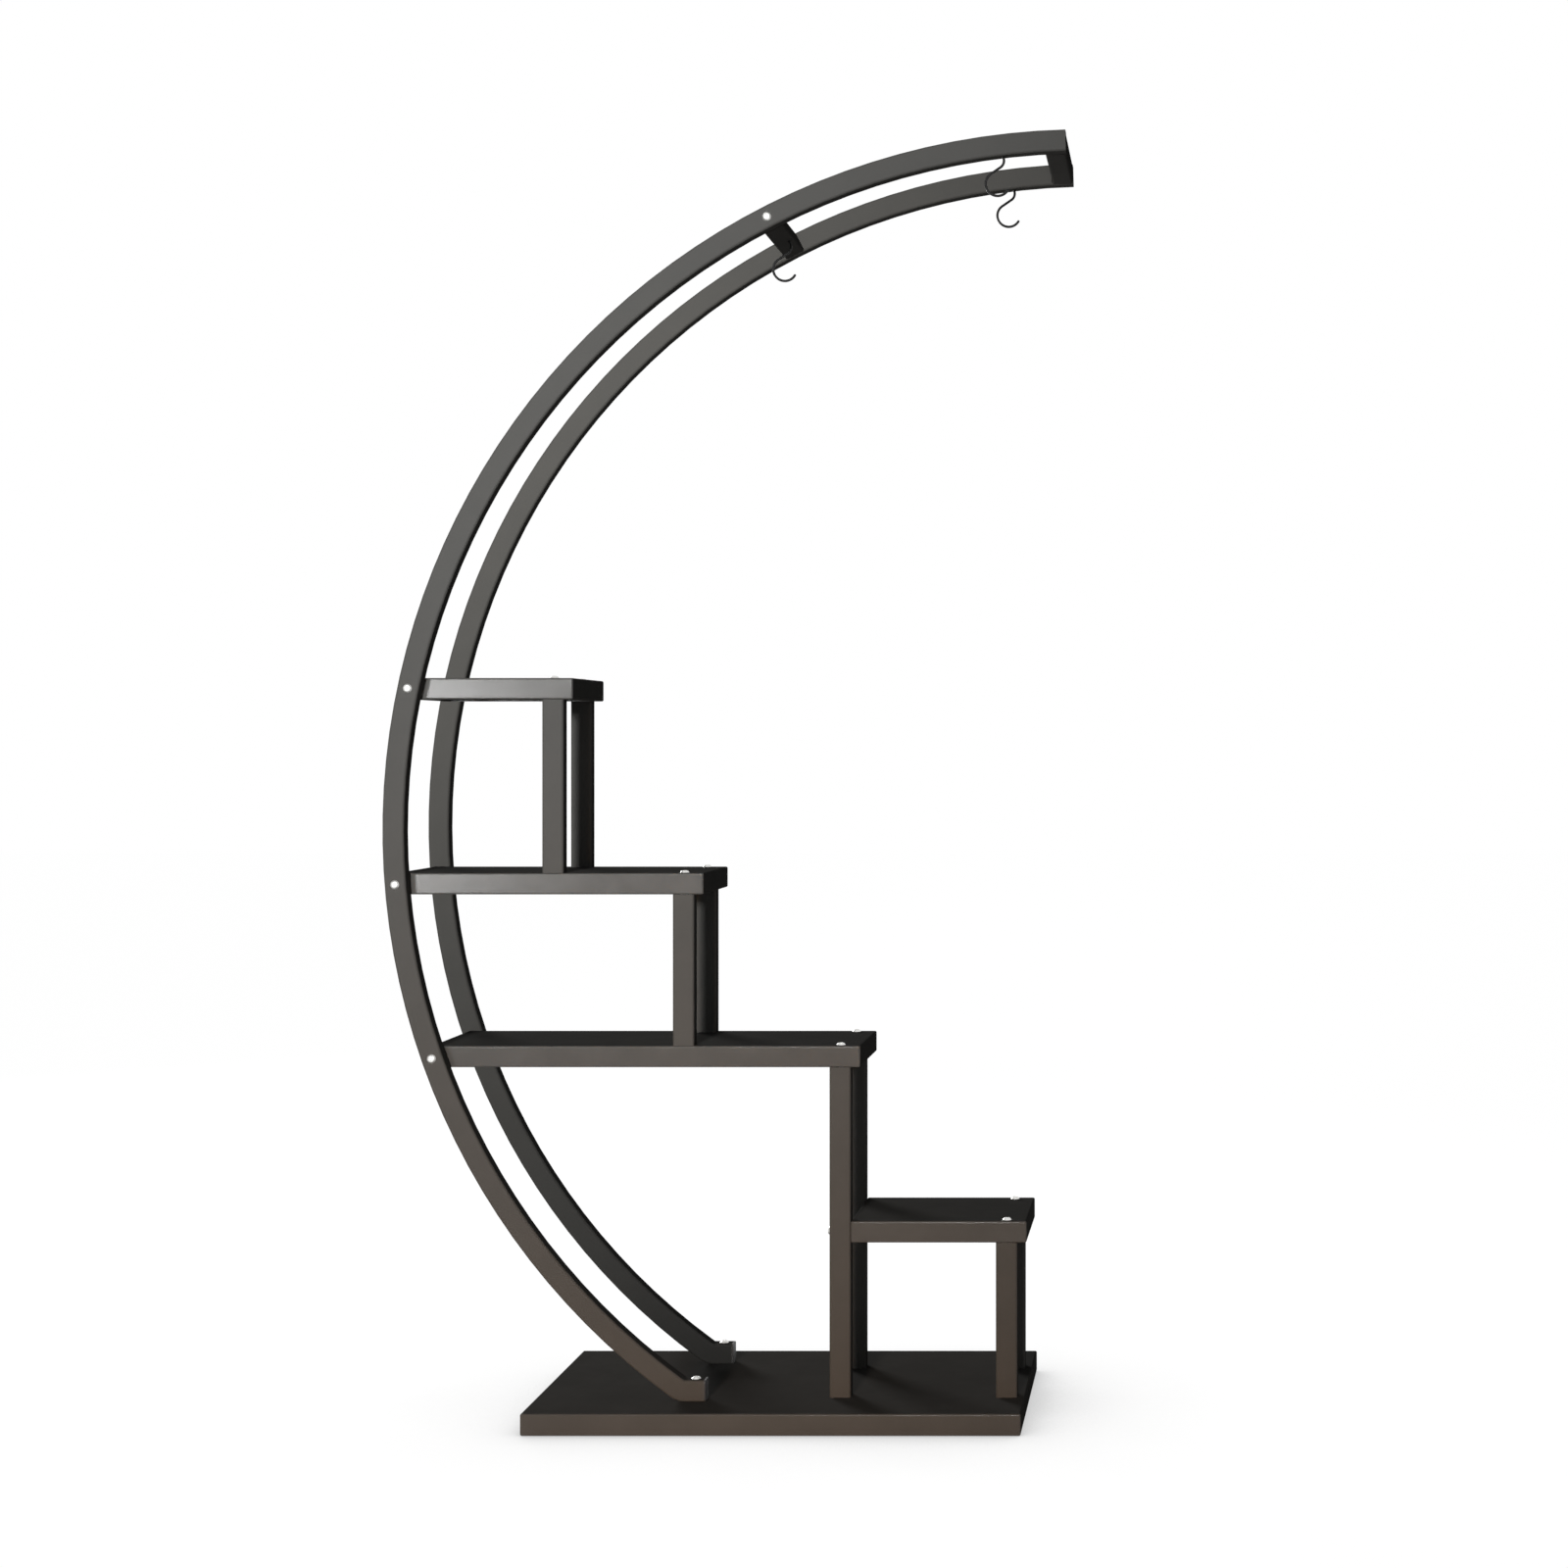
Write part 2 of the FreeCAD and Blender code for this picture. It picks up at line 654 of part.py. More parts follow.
def foot_cap_pattern():
    """A plastic cap for a rail foot: a flange on the tube's end and a stub inside it."""
    body = new_body("foot_cap_pattern", is_subpart=False)
    flange_low = ("0", "-tube_depth / 2", "-tube_face / 2")
    block(body, "AdditiveBox", "flange", flange_low, ("cap_flange", "tube_depth", "tube_face"))
    round_edges(body, "tube_corner", runs_along(X_AXIS))
    round_edges(body, "cap_edge", lies_at("cap_flange"))
    stub_low = ("-cap_depth", "-plug_depth / 2", "-plug_face / 2")
    stub_size = ("cap_depth + cap_flange / 2", "plug_depth", "plug_face")
    block(body, "AdditiveBox", "stub", stub_low, stub_size)
    round_edges(body, "room_corner", runs_along(X_AXIS, ("tube_face", "plug_depth", "plug_face")))
    return body


def tip_plate_pattern():
    """A plate that closes a rail's tip, just inside the tube."""
    body = new_body("tip_plate_pattern", is_subpart=False)
    low = ("-tip_plate", "-plug_depth / 2", "-plug_face / 2")
    block(body, "AdditiveBox", "plate", low, ("tip_plate", "plug_depth", "plug_face"))
    round_edges(body, "room_corner", runs_along(X_AXIS))
    return body


def make_rail_fasteners():
    nut = nut_pattern()
    rail_bolt = bolt_pattern("rail_bolt", "tube_depth + shelf_sheet + nut_height")
    bolts = []
    nuts = []
    for shelf in RAIL_SHELVES:
        spot = {"x": f"{shelf}_bolt_x", "z": f"{shelf}_bolt_z"}
        for side, sign in SIDES.items():
            bolts.append(dict(spot, y=f"{sign} * rail_face", turn=HEAD_TURNS[side]))
        nuts.append(dict(spot, y="shelf_sheet - shelf_depth / 2", turn=TO_REAR))
        nuts.append(dict(spot, y="shelf_depth / 2 - shelf_sheet", turn=TO_FRONT))
    group("shelf_rail_bolts", rail_bolt, bolts)
    group("shelf_weld_nuts", nut, nuts)

    foot_bolt = bolt_pattern("foot_bolt", "tube_face + base_sheet + nut_height")
    group("rail_foot_bolts", foot_bolt, on_both_sides("rail_y", x="foot_bolt_x", z="foot_top"))
    nut_z = "base_height - base_sheet - nut_height"
    group("base_weld_nuts", nut, on_both_sides("rail_y", x="foot_bolt_x", z=nut_z))
    cap_z = "base_height + tube_face / 2"
    group("rail_foot_caps", foot_cap_pattern(), on_both_sides("rail_y", x="foot_end", z=cap_z))
    group("rail_tip_plates", tip_plate_pattern(), on_both_sides("rail_y", angle="tip_angle"))

    bar_bolt = bolt_pattern("bar_bolt", "tube_depth + plug_length")
    bar_bolts = [
        {"angle": "mid_bar_angle", "y": f"{sign} * rail_face", "turn": HEAD_TURNS[side]}
        for side, sign in SIDES.items()
    ]
    group("crossbar_bolts", bar_bolt, bar_bolts)


def make_crossbar_plugs():
    """The two threaded plugs in the mid crossbar, which lean with it."""
    body = new_body("crossbar_plug_pattern", is_subpart=False)
    low = ("-plug_face / 2", "-plug_length / 2", "-plug_face / 2")
    block(body, "AdditiveBox", "plate", low, ("plug_face", "plug_length", "plug_face"))
    round_edges(body, "room_corner", runs_along(Y_AXIS))
    near_y = f"-plug_length / 2 - {OVERCUT}"
    drill(body, "thread", "thread_hole", f"plug_length + 2 * {OVERCUT}", y=near_y, turn=TO_REAR)
    places = on_both_sides("(shelf_depth - plug_length) / 2", angle="mid_bar_angle")
    group("crossbar_plugs", body, places)


def make_post_fasteners():
    plug = post_plug_pattern()
    top_bolt = bolt_pattern("post_top_bolt", "shelf_height + plug_length")
    foot_bolt = bolt_pattern("post_foot_bolt", "shelf_sheet + plug_length")
    top_bolts = []
    foot_bolts = []
    top_plugs = []
    foot_plugs = []
    sleeves = []
    for shelf, floor in POST_FLOORS.items():
        level = f"{shelf}_shelf_level"
        skin = "base_sheet" if floor == "base_height" else "shelf_sheet"
        spot = {"x": f"{shelf}_post_x"}
        top_bolts += on_both_sides("post_y", z=level, **spot)
        sleeves += on_both_sides("post_y", z=f"{level} - shelf_height + shelf_sheet", **spot)
        top_plugs += on_both_sides("post_y", z=f"{level} - shelf_height - plug_length", **spot)
        foot_plugs += on_both_sides("post_y", z=floor, **spot)
        foot_bolts += on_both_sides("post_y", z=f"{floor} - {skin}", turn=TO_FLOOR, **spot)
    group("post_top_bolts", top_bolt, top_bolts)
    group("post_foot_bolts", foot_bolt, foot_bolts)
    group("post_top_plugs", plug, top_plugs)
    group("post_foot_plugs", plug, foot_plugs)
    group("post_bolt_sleeves", sleeve_pattern(), sleeves)


def make_low_shelf_fasteners():
    bolt = bolt_pattern("low_shelf_bolt", "tube_face + shelf_sheet + nut_height")
    head_x = "low_shelf_start - tube_face"
    group("low_shelf_bolts", bolt, on_both_sides("post_y", x=head_x, z="low_bolt_z", turn=TO_LEFT))
    nut_x = "low_shelf_start + shelf_sheet"
    nuts = on_both_sides("post_y", x=nut_x, z="low_bolt_z", turn=TO_RIGHT)
    group("low_shelf_weld_nuts", doc.getObject("nut_pattern"), nuts)


def hook_path(body):
    """Front view of a hook's wire about its upper loop's centre: two loops joined by a straight run."""
    sketch = side_sketch(body, "path")
    upper_radius = SIZES["hook_upper_radius"]
    lower_radius = SIZES["hook_lower_radius"]
    lower_centre = (SIZES["hook_lean"], -SIZES["hook_drop"])
    slant = math.acos((upper_radius + lower_radius) / math.hypot(*lower_centre))
    inner_end = math.radians(SIZES["hook_inner_end"])
    outer_end = 2 * math.pi - math.radians(SIZES["hook_outer_end"])
    upper = draw_arc(sketch, (0, 0), upper_radius, slant - math.pi / 2, inner_end)
    lower = draw_arc(sketch, lower_centre, lower_radius, slant + math.pi / 2, outer_end)
    run = draw_line(sketch, (upper, START), (lower, START))
    upper_end = draw_line(sketch, (upper, CENTRE), (upper, END), construction=True)
    lower_end = draw_line(sketch, (lower, END), (lower, CENTRE), construction=True)
    hold(sketch, "Coincident", upper, CENTRE, *ORIGIN)
    hold(sketch, "Tangent", upper, START, run, START)
    hold(sketch, "Tangent", lower, START, run, END)
    hold(sketch, "Coincident", upper_end, START, upper, CENTRE)
    hold(sketch, "Coincident", upper_end, END, upper, END)
    hold(sketch, "Coincident", lower_end, START, lower, END)
    hold(sketch, "Coincident", lower_end, END, lower, CENTRE)
    hold(sketch, "Radius", upper, size="hook_upper_radius")
    hold(sketch, "Radius", lower, size="hook_lower_radius")
    hold(sketch, "DistanceX", *ORIGIN, lower, CENTRE, size="hook_lean")
    hold(sketch, "DistanceY", lower, CENTRE, *ORIGIN, size="hook_drop")
    hold(sketch, "Angle", upper_end, size="hook_inner_end")
    hold(sketch, "Angle", lower_end, size="180 - hook_outer_end")
    return sketch


def make_hook(name, angle, y, along):
    """A wire S-hook, whose own origin is the centre of its upper loop, about which it swings."""
    body = new_body(name)
    place_on_arch(body, angle, "inner_radius - hook_hang", along, y, turn=TO_TOP)
    path = hook_path(body)
    doc.recompute()
    section = body.newObject("Sketcher::SketchObject", f"{name}_section")
    section.AttachmentSupport = (path, "Edge1")
    section.MapMode = "NormalToEdge"
    section.MapPathParameter = 1
    wire = section.addGeometry(Part.Circle(FreeCAD.Vector(), Z_AXIS, SIZES["hook_wire"] / 2))
    hold(section, "Coincident", wire, CENTRE, *ORIGIN)
    hold(section, "Radius", wire, size="hook_wire / 2")
    pipe = body.newObject("PartDesign::AdditivePipe", f"{name}_wire")
    pipe.Profile = section
    pipe.Spine = (path, ["Edge1", "Edge2", "Edge3"])


def make_hooks():
    for side, sign in SIDES.items():
        make_hook(f"{side}_hook", "hook_angle", f"{sign} * rail_y", "0")
    make_hook("mid_hook", "mid_bar_angle", "0", "-mid_hook_shift")


def check_model():
    """Stop on anything that failed, is empty or cut nothing away."""
    for item in doc.Objects:
        if "Invalid" in item.State or "Error" in item.State:
            raise RuntimeError(f"{item.Label} failed: {item.State}")
        base = getattr(item, "BaseFeature", None)
        cuts = "Subtractive" in item.TypeId or item.TypeId == "PartDesign::Pocket"
        if cuts and base is not None and item.Shape.Volume > base.Shape.Volume - 1e-3:
            raise RuntimeError(f"{item.Label} cuts nothing")
    for node in subparts:
        if node.Shape.isNull() or not node.Shape.isValid() or not node.Shape.Solids:
            raise RuntimeError(f"{node.Label} has no sound shape")


def write_parts():
    os.makedirs("parts", exist_ok=True)
    for node in subparts:
        node.Shape.exportStep(f"parts/{node.Label}.step")
        print(node.Label, len(node.Shape.Solids), round(node.Shape.Volume, 1))


make_sheet()
make_base()
for side, sign in SIDES.items():
    make_rail(side, sign)
make_crossbars()
for shelf in POST_FLOORS:
    make_shelf(shelf)
for shelf, floor in POST_FLOORS.items():
    for side, sign in SIDES.items():
        make_post(shelf, floor, side, sign)
make_rail_fasteners()
make_crossbar_plugs()
make_post_fasteners()
make_low_shelf_fasteners()
make_hooks()
doc.recompute()
check_model()
write_parts()
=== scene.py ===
import json
import math

import bpy
from bpy.props import FloatProperty, FloatVectorProperty, IntProperty, PointerProperty
from mathutils import Matrix, Vector


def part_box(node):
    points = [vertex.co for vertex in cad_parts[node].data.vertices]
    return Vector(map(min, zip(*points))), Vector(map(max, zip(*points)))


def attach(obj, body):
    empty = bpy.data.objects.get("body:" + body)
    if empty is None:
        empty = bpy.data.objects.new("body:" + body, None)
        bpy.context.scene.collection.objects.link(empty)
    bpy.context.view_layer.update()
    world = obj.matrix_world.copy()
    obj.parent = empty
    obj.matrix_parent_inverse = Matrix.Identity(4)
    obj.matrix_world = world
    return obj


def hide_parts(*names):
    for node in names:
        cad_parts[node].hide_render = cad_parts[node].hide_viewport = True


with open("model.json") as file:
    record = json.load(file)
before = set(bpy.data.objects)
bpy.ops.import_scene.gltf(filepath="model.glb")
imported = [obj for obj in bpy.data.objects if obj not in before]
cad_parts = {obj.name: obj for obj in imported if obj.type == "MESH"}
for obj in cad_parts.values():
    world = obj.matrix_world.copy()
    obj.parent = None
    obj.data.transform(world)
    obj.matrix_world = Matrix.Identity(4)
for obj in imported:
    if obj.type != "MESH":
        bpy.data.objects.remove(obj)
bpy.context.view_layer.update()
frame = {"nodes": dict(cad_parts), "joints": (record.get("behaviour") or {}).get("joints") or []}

bl_info = {
    "name": "Plant stand finish",
    "version": (1, 0, 0),
    "blender": (4, 5, 0),
    "location": "3D View > Sidebar > Stand",
    "description": "Coats the stand's steelwork and models its bolts, nuts, welds and wire hooks",
    "category": "Object",
}

MM = 0.001
UP = Vector((0, 0, 1))
SIDE = Vector((0, 1, 0))
RIGHT = Vector((1, 0, 0))
WHITE = (1, 1, 1)

# Points of a mesh that are closer than this are merged.
SEAM = 1e-6

# The pieces of the frame that keep their own shapes: tubes, folded trays, inner metal and caps.
SHELVES = ("top_shelf", "middle_shelf", "wide_shelf", "low_shelf")
POSTS = tuple(f"{shelf}_{side}_post" for shelf in SHELVES for side in ("front", "rear"))
TUBES = ("front_rail", "rear_rail", "tip_crossbar", "mid_crossbar", "rail_tip_plates") + POSTS
TRAYS = SHELVES + ("base_tray",)
INNER_METAL = ("crossbar_plugs", "post_top_plugs", "post_foot_plugs", "post_bolt_sleeves")
CAPS = ("rail_foot_caps",)

# The shelves that gleam in the left lamp, and the rail that has an even light of its own.
GLEAMING = ("top_shelf", "middle_shelf", "wide_shelf")
EVENLY_LIT = ("rear_rail",)

# Each set of bolts and the way that its heads face. None means outwards from the middle plane.
BOLT_SETS = {
    "shelf_rail_bolts": None,
    "crossbar_bolts": None,
    "rail_foot_bolts": UP,
    "post_top_bolts": UP,
    "post_foot_bolts": -UP,
    "low_shelf_bolts": -RIGHT,
}
NUT_SETS = ("shelf_weld_nuts", "base_weld_nuts", "low_shelf_weld_nuts")
HOOKS = ("front_hook", "rear_hook", "mid_hook")


def colour_of(name, description, default):
    """A setting for a colour."""
    return FloatVectorProperty(
        name=name, description=description, default=default, subtype="COLOR", size=3, min=0, max=1
    )


def length_of(name, description, millimetres):
    """A setting for a length."""
    return FloatProperty(
        name=name, description=description, default=millimetres * MM, unit="LENGTH", precision=5
    )


def angle_of(name, description, degrees):
    """A setting for an angle."""
    return FloatProperty(
        name=name, description=description, default=math.radians(degrees), unit="ROTATION"
    )


def share_of(name, description, default):
    """A setting for a share between 0 and 1."""
    return FloatProperty(
        name=name, description=description, default=default, subtype="FACTOR", min=0, max=1
    )


def power_of(name, description, watts):
    """A setting for the power of a lamp."""
    return FloatProperty(name=name, description=description, default=watts, unit="POWER")


class StandFinish(bpy.types.PropertyGroup):
    """Colours and gloss of the stand's finishes."""

    coat: colour_of("Coat", "Colour of the powder coat", (0.078, 0.077, 0.073))
    coat_pale: colour_of("Pale coat", "Colour of the coat in its pale patches", (0.098, 0.096, 0.091))
    tube_roughness: share_of("Tube roughness", "Roughness of the coat on the tubes", 0.62)
    tray_roughness: share_of("Tray roughness", "Roughness of the coat on the folded trays", 0.2)
    tube_gloss: share_of("Tube gloss", "Strength of the reflection on the tubes", 0.12)
    tray_gloss: share_of("Tray gloss", "Strength of the reflection on the folded trays", 0.19)
    wire_gloss: share_of("Wire gloss", "Strength of the reflection on the hooks", 0.12)
    zinc: colour_of("Zinc", "Colour of the plated bolts and nuts", (0.86, 0.86, 0.84))
    zinc_dull: colour_of("Dull zinc", "Colour of the plating in its dull patches", (0.62, 0.63, 0.62))
    plastic: colour_of("Plastic", "Colour of the rail foot caps", (0.020, 0.020, 0.020))
    wire_coat: colour_of("Wire coat", "Colour of the coat on the hooks", (0.012, 0.012, 0.012))


class StandFasteners(bpy.types.PropertyGroup):
    """Sizes of the bolts, nuts and weld beads."""

    head_size: length_of("Head size", "Width of a bolt's head", 10.5)
    head_height: length_of("Head height", "Height of a bolt's head", 3)
    head_crown: length_of("Head crown", "Width of the low dome on a bolt's head", 7.6)
    head_shoulder: length_of("Head shoulder", "Height at which the dome starts, above a steep edge", 2.2)
    socket: length_of("Socket", "Width of the head's hexagon socket across its flats", 4)
    socket_depth: length_of("Socket depth", "Depth of the hexagon socket", 1.6)
    thread: length_of("Thread", "Outer diameter of the thread", 6)
    thread_root: length_of("Thread root", "Diameter at the bottom of the thread", 4.9)
    pitch: length_of("Pitch", "Rise of the thread in one turn", 1)
    nut_flats: length_of("Nut flats", "Width of a nut across its flats", 10)
    nut_height: length_of("Nut height", "Height of a nut", 5)
    bead: length_of("Weld bead", "Radius of a weld bead", 1.3)
    bead_step: length_of("Bead step", "Distance between the ripples of a weld bead", 1.4)
    sides: IntProperty(name="Sides", description="Sides of a turned piece", default=32, min=12, max=96)


class StandHooks(bpy.types.PropertyGroup):
    """Sizes of the wire hooks."""

    wire: length_of("Wire", "Diameter of the wire", 3)
    upper_radius: length_of("Upper radius", "Radius of the loop in the tube", 9.5)
    lower_radius: length_of("Lower radius", "Radius of the open loop", 14)
    drop: length_of("Drop", "Height between the centres of the two loops", 27)
    lean: length_of("Lean", "Sideways step between the centres of the two loops", 2.1)
    inner_end: angle_of("Inner end", "Angle of the upper end of the wire", 135)
    outer_end: angle_of("Outer end", "Angle of the lower end of the wire", 335)


class StandStage(bpy.types.PropertyGroup):
    """Camera, lamps and floor."""

    eye: FloatVectorProperty(
        name="Eye",
        description="Place of the camera",
        default=(0.5454, -3.015, 0.7914),
        subtype="TRANSLATION",
        unit="LENGTH",
    )
    lens: FloatProperty(name="Lens", description="Focal length in millimetres on 36 mm", default=57.71)
    shift: FloatVectorProperty(
        name="Shift", description="Shift of the view", default=(-0.2613, -0.0269), size=2
    )
    floor: colour_of("Floor", "Colour of the floor", (0.86, 0.86, 0.86))
    front_power: power_of("Front power", "Power of the main lamp", 14)
    rear_power: power_of("Rear power", "Power of the even light on the rear rail", 10.3)
    key_power: power_of("Key power", "Power of the left lamp", 6.4)
    fill_power: power_of("Fill power", "Power of the low front lamp", 1.45)
    back_power: power_of("Back power", "Power of the lamp behind the stand", 30)
    contact: length_of("Contact", "Reach of the soft shadow where the stand meets the floor", 300)
    ambient: share_of("Ambient", "Strength of the light from all round", 0.075)


def settle(piece=None):
    """Leave edit mode and deselect everything, then select the given piece alone."""
    if bpy.context.mode != "OBJECT":
        bpy.ops.object.mode_set(mode="OBJECT")
    bpy.ops.object.select_all(action="DESELECT")
    if piece is not None:
        piece.select_set(True)
        bpy.context.view_layer.objects.active = piece


def pick_points(piece, test):
    """Select, in edit mode, the points of a piece whose place passes the test."""
    bpy.ops.mesh.select_mode(type="VERT")
    bpy.ops.mesh.select_all(action="DESELECT")
    bpy.ops.object.mode_set(mode="OBJECT")
    for point in piece.data.vertices:
        point.select = test(point.co)
    bpy.ops.object.mode_set(mode="EDIT")


def close_up():
    """Merge the seams of the mesh in hand and turn its faces outwards."""
    bpy.ops.mesh.select_all(action="SELECT")
    bpy.ops.mesh.remove_doubles(threshold=SEAM)
    bpy.ops.mesh.normals_make_consistent(inside=False)


def drawn_profile(name, profile):
    """A line of edges in the XZ plane, drawn out from one point, left in edit mode."""
    settle()
    bpy.ops.mesh.primitive_plane_add(size=MM, enter_editmode=True)
    piece = bpy.context.object
    piece.name = name
    bpy.ops.mesh.merge(type="CENTER")
    here = Vector((profile[0][0], 0, profile[0][1]))
    bpy.ops.transform.translate(value=here)
    for reach, height in profile[1:]:
        there = Vector((reach, 0, height))
        bpy.ops.mesh.extrude_region_move(TRANSFORM_OT_translate={"value": there - here})
        here = there
    return piece


def turned(name, profile, sides):
    """A solid turned about the Z axis from a profile that starts and ends on it."""
    piece = drawn_profile(name, profile)
    bpy.ops.mesh.select_all(action="SELECT")
    bpy.ops.mesh.spin(steps=sides, angle=2 * math.pi, center=(0, 0, 0), axis=UP)
    close_up()
    settle(piece)
    return piece


def carve(piece, cutter, operation="DIFFERENCE"):
    """Cut a piece with another one, which is used up."""
    settle(piece)
    cut = piece.modifiers.new("cut", "BOOLEAN")
    cut.operation = operation
    cut.solver = "EXACT"
    cut.object = cutter
    bpy.ops.object.modifier_apply(modifier=cut.name)
    bpy.data.objects.remove(cutter)


def smooth(piece, degrees=35):
    """Shade a piece smooth, but for edges sharper than the angle."""
    settle(piece)
    bpy.ops.object.shade_smooth_by_angle(angle=math.radians(degrees))


def loose_boxes(node):
    """The boxes of the separate pieces of a CAD node, read from a copy that is taken apart."""
    settle()
    copy = frame["nodes"][node].copy()
    copy.data = frame["nodes"][node].data.copy()
    bpy.context.scene.collection.objects.link(copy)
    settle(copy)
    bpy.ops.object.mode_set(mode="EDIT")
    bpy.ops.mesh.select_all(action="SELECT")
    bpy.ops.mesh.remove_doubles(threshold=SEAM)
    bpy.ops.mesh.separate(type="LOOSE")
    bpy.ops.object.mode_set(mode="OBJECT")
    boxes = []
    for part in list(bpy.context.selected_objects):
        points = [point.co for point in part.data.vertices]
        low = Vector(min(point[axis] for point in points) for axis in range(3))
        high = Vector(max(point[axis] for point in points) for axis in range(3))
        boxes.append((low, high))
        bpy.data.objects.remove(part)
    return boxes


def set_out(name, master, spots):
    """One piece of copies of a master, which is used up.

    Each spot gives a copy's place, the way of its Z axis and its turn about that axis."""
    copies = []
    for place, way, angle in spots:
        copy = master.copy()
        copy.data = master.data.copy()
        bpy.context.scene.collection.objects.link(copy)
        turn = way.to_track_quat("Z", "Y").to_matrix().to_4x4()
        copy.matrix_world = Matrix.Translation(place) @ turn @ Matrix.Rotation(angle, 4, "Z")
        copies.append(copy)
    bpy.data.objects.remove(master)
    settle()
    for copy in copies:
        copy.select_set(True)
    bpy.context.view_layer.objects.active = copies[0]
    bpy.ops.object.transform_apply(location=True, rotation=True, scale=True)
    if len(copies) > 1:
        bpy.ops.object.join()
    piece = bpy.context.object
    piece.name = name
    piece.data.name = name
    return piece


def finish_with(piece, material):
    """Give a piece one material, in place of any that it has."""
    piece.data.materials.clear()
    piece.data.materials.append(material)


def new_material(name):
    """A material with its shader and the object's own coordinates."""
    material = bpy.data.materials.new(name)
    material.use_nodes = True
    tree = material.node_tree
    shader = tree.nodes["Principled BSDF"]
    coordinates = tree.nodes.new("ShaderNodeTexCoord").outputs["Object"]
    return material, tree, shader, coordinates


def add_noise(tree, coordinates, scale, detail=2.0, roughness=0.5):
    """A noise value that varies with the place."""
    noise = tree.nodes.new("ShaderNodeTexNoise")
    noise.inputs["Scale"].default_value = scale
    noise.inputs["Detail"].default_value = detail
    noise.inputs["Roughness"].default_value = roughness
    tree.links.new(coordinates, noise.inputs["Vector"])
    return noise.outputs["Fac"]


def add_range(tree, value, low, high, start=0.35, end=0.65):
    """A value that goes from low to high while the given one goes from start to end."""
    spread = tree.nodes.new("ShaderNodeMapRange")
    for socket, number in zip(("From Min", "From Max", "To Min", "To Max"), (start, end, low, high)):
        spread.inputs[socket].default_value = number
    tree.links.new(value, spread.inputs["Value"])
    return spread.outputs["Result"]


def add_mix(tree, factor, first, second):
    """A blend of two colours, each a plain colour or the output of a node."""
    mix = tree.nodes.new("ShaderNodeMix")
    mix.data_type = "RGBA"
    tree.links.new(factor, mix.inputs[0])
    for socket, colour in ((mix.inputs[6], first), (mix.inputs[7], second)):
        if isinstance(colour, bpy.types.NodeSocket):
            tree.links.new(colour, socket)
        else:
            socket.default_value = (*colour, 1)
    return mix.outputs[2]


def add_bump(tree, shader, height, strength, distance):
    """Let a height value roughen the surface of a shader."""
    bump = tree.nodes.new("ShaderNodeBump")
    bump.inputs["Strength"].default_value = strength
    bump.inputs["Distance"].default_value = distance
    tree.links.new(height, bump.inputs["Height"])
    tree.links.new(bump.outputs["Normal"], shader.inputs["Normal"])


def powder_coat(name, finish, roughness, gloss):
    """Black powder coat: a fine orange-peel skin, cloudy in tone and gloss, with tiny pale grains.

    Its skin scatters a low glance, so the gloss fades towards the edge of sight."""
    material, tree, shader, coordinates = new_material(name)
    cloud = add_noise(tree, coordinates, scale=22, detail=5, roughness=0.6)
    skin = add_noise(tree, coordinates, scale=850)
    grain = add_noise(tree, coordinates, scale=2600, detail=1)
    cloudy = add_range(tree, cloud, low=0, high=0.4)
    toned = add_mix(tree, cloudy, finish.coat, finish.coat_pale)
    grainy = add_range(tree, grain, low=0, high=0.35, start=0.62, end=0.78)
    speckled = add_mix(tree, grainy, toned, finish.coat_pale)
    tree.links.new(speckled, shader.inputs["Base Color"])
    swing = 0.02
    patchy = add_range(tree, cloud, low=roughness - swing, high=roughness + swing)
    tree.links.new(patchy, shader.inputs["Roughness"])
    glance = tree.nodes.new("ShaderNodeLayerWeight").outputs["Facing"]
    faded = add_range(tree, glance, low=gloss, high=0, start=0.3, end=0.65)
    tree.links.new(faded, shader.inputs["Specular IOR Level"])
    add_bump(tree, shader, skin, strength=0.12, distance=0.0004)
    return material


def zinc_plate(finish):
    """Bright zinc: cloudy plating with a fine uneven skin."""
    material, tree, shader, coordinates = new_material("zinc_plate")
    cloud = add_noise(tree, coordinates, scale=320, detail=4, roughness=0.6)
    fine = add_noise(tree, coordinates, scale=2400)
    dulled = add_range(tree, cloud, low=0, high=0.6, start=0.45, end=0.75)
    toned = add_mix(tree, dulled, finish.zinc, finish.zinc_dull)
    tree.links.new(toned, shader.inputs["Base Color"])
    patchy = add_range(tree, cloud, low=0.22, high=0.38)
    tree.links.new(patchy, shader.inputs["Roughness"])
    shader.inputs["Metallic"].default_value = 1
    add_bump(tree, shader, fine, strength=0.08, distance=0.0002)
    return material


def cap_plastic(finish):
    """Moulded black plastic with a fine grain."""
    material, tree, shader, coordinates = new_material("cap_plastic")
    grain = add_noise(tree, coordinates, scale=1800, detail=3)
    grainy = add_range(tree, grain, low=0, high=0.5)
    toned = add_mix(tree, grainy, finish.plastic, finish.coat)
    tree.links.new(toned, shader.inputs["Base Color"])
    patchy = add_range(tree, grain, low=0.48, high=0.6)
    tree.links.new(patchy, shader.inputs["Roughness"])
    add_bump(tree, shader, grain, strength=0.15, distance=0.0003)
    return material


def hook_coat(finish):
    """Smooth black dip coat on wire, a little uneven."""
    material, tree, shader, coordinates = new_material("hook_coat")
    cloud = add_noise(tree, coordinates, scale=260, detail=3)
    cloudy = add_range(tree, cloud, low=0, high=0.6)
    toned = add_mix(tree, cloudy, finish.wire_coat, finish.plastic)
    tree.links.new(toned, shader.inputs["Base Color"])
    patchy = add_range(tree, cloud, low=0.42, high=0.52)
    tree.links.new(patchy, shader.inputs["Roughness"])
    shader.inputs["Specular IOR Level"].default_value = finish.wire_gloss
    add_bump(tree, shader, cloud, strength=0.1, distance=0.0005)
    return material


